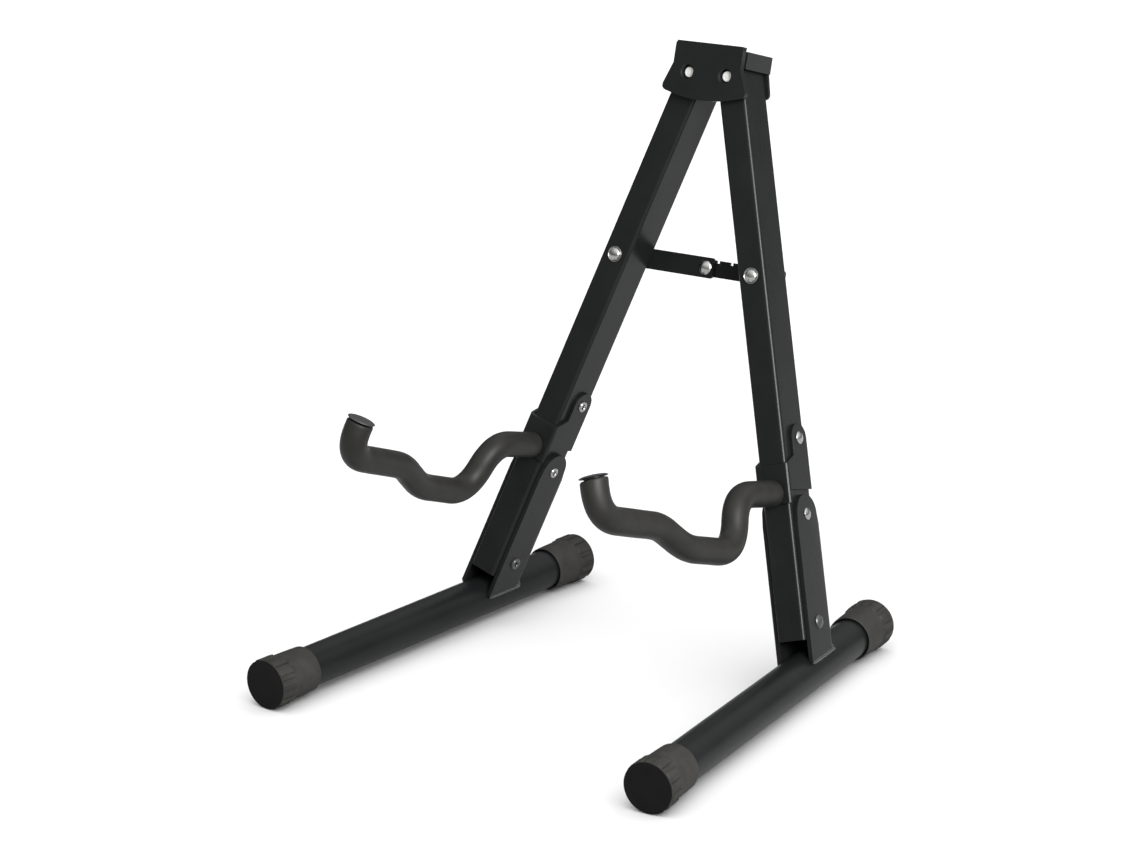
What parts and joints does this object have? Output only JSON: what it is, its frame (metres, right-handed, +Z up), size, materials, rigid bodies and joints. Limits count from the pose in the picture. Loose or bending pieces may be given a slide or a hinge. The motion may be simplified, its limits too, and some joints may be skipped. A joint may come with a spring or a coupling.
{
  "type": "folding guitar stand",
  "caption": "Folding A-frame floor stand for a guitar: splayed legs on long feet, a folding brace and padded cradle arms that swing up.",
  "frame": {"origin": "on the floor, under the centre of the open stand's outline", "axes": "+Z up; -Y is the front, where the arms reach out to the guitar; +X is to the right as seen from the front"},
  "size_m": [0.34, 0.3498, 0.4215],
  "materials": {
    "black_steel": "satin black powder coat",
    "bright_rivet": "bright zinc plated",
    "dark_rivet": "black satin",
    "arm_foam": "matt charcoal foam rubber",
    "end_plug": "fine satin black plastic",
    "foot_cap": "matt warm dark grey rubber"
  },
  "bodies": {
    "head": {"head_front_plate": "black_steel", "head_rear_plate": "black_steel", "left_head_rivet": "bright_rivet", "right_head_rivet": "bright_rivet"},
    "left_leg": {"left_leg": "black_steel", "left_lower_bracket": "black_steel", "left_yoke_rivet": "bright_rivet", "left_lower_rivet": "bright_rivet", "left_foot_rivet": "dark_rivet", "left_foot_tube": "black_steel", "left_foot_cap_front": "foot_cap", "left_foot_cap_rear": "foot_cap", "brace_rivet_left": "bright_rivet"},
    "right_leg": {"right_leg": "black_steel", "right_lower_bracket": "black_steel", "right_yoke_rivet": "bright_rivet", "right_lower_rivet": "bright_rivet", "right_foot_rivet": "dark_rivet", "right_foot_tube": "black_steel", "right_foot_cap_front": "foot_cap", "right_foot_cap_rear": "foot_cap", "brace_rivet_right": "bright_rivet", "brace_spacer_right": "bright_rivet"},
    "left_brace": {"brace_link_left": "black_steel", "brace_middle_rivet": "bright_rivet"},
    "right_brace": {"brace_link_right": "black_steel", "brace_middle_rivet_tail": "bright_rivet"},
    "left_arm": {"left_yoke_bracket": "black_steel", "left_arm_tube": "black_steel", "left_arm_foam": "arm_foam", "left_arm_end_plug": "end_plug"},
    "right_arm": {"right_yoke_bracket": "black_steel", "right_arm_tube": "black_steel", "right_arm_foam": "arm_foam", "right_arm_end_plug": "end_plug"}
  },
  "joints": [
    {"name": "left_leg_fold", "type": "hinge", "parent": "head", "child": "left_leg", "pos_m": [-0.0152, 0.13798, 0.39941], "axis": [0, -0.9659, 0.2588], "range_deg": [0, 16]},
    {"name": "right_leg_fold", "type": "hinge", "parent": "head", "child": "right_leg", "pos_m": [0.0152, 0.13798, 0.39941], "axis": [0, -0.9659, 0.2588], "range_deg": [-16, 0]},
    {"name": "left_brace_fold", "type": "hinge", "parent": "left_leg", "child": "left_brace", "pos_m": [-0.05555, 0.10383, 0.27193], "axis": [0, -0.9659, 0.2588], "range_deg": [0, 55.52]},
    {"name": "right_brace_fold", "type": "hinge", "parent": "right_leg", "child": "right_brace", "pos_m": [0.05555, 0.10383, 0.27193], "axis": [0, -0.9659, 0.2588], "range_deg": [-55.52, 0]},
    {"name": "left_arm_fold", "type": "hinge", "parent": "left_leg", "child": "left_arm", "pos_m": [-0.0885, 0.09477, 0.16278], "axis": [-0.9563, 0.0757, 0.2824], "range_deg": [0, 80]},
    {"name": "right_arm_fold", "type": "hinge", "parent": "right_leg", "child": "right_arm", "pos_m": [0.0885, 0.09477, 0.16278], "axis": [-0.9563, -0.0757, -0.2824], "range_deg": [0, 80]}
  ],
  "couplings": [
    {"joint": "right_leg_fold", "follows": "left_leg_fold", "ratio": -1},
    {"joint": "left_brace_fold", "follows": "left_leg_fold", "ratio": 3.47},
    {"joint": "right_brace_fold", "follows": "left_leg_fold", "ratio": -3.47}
  ]
}
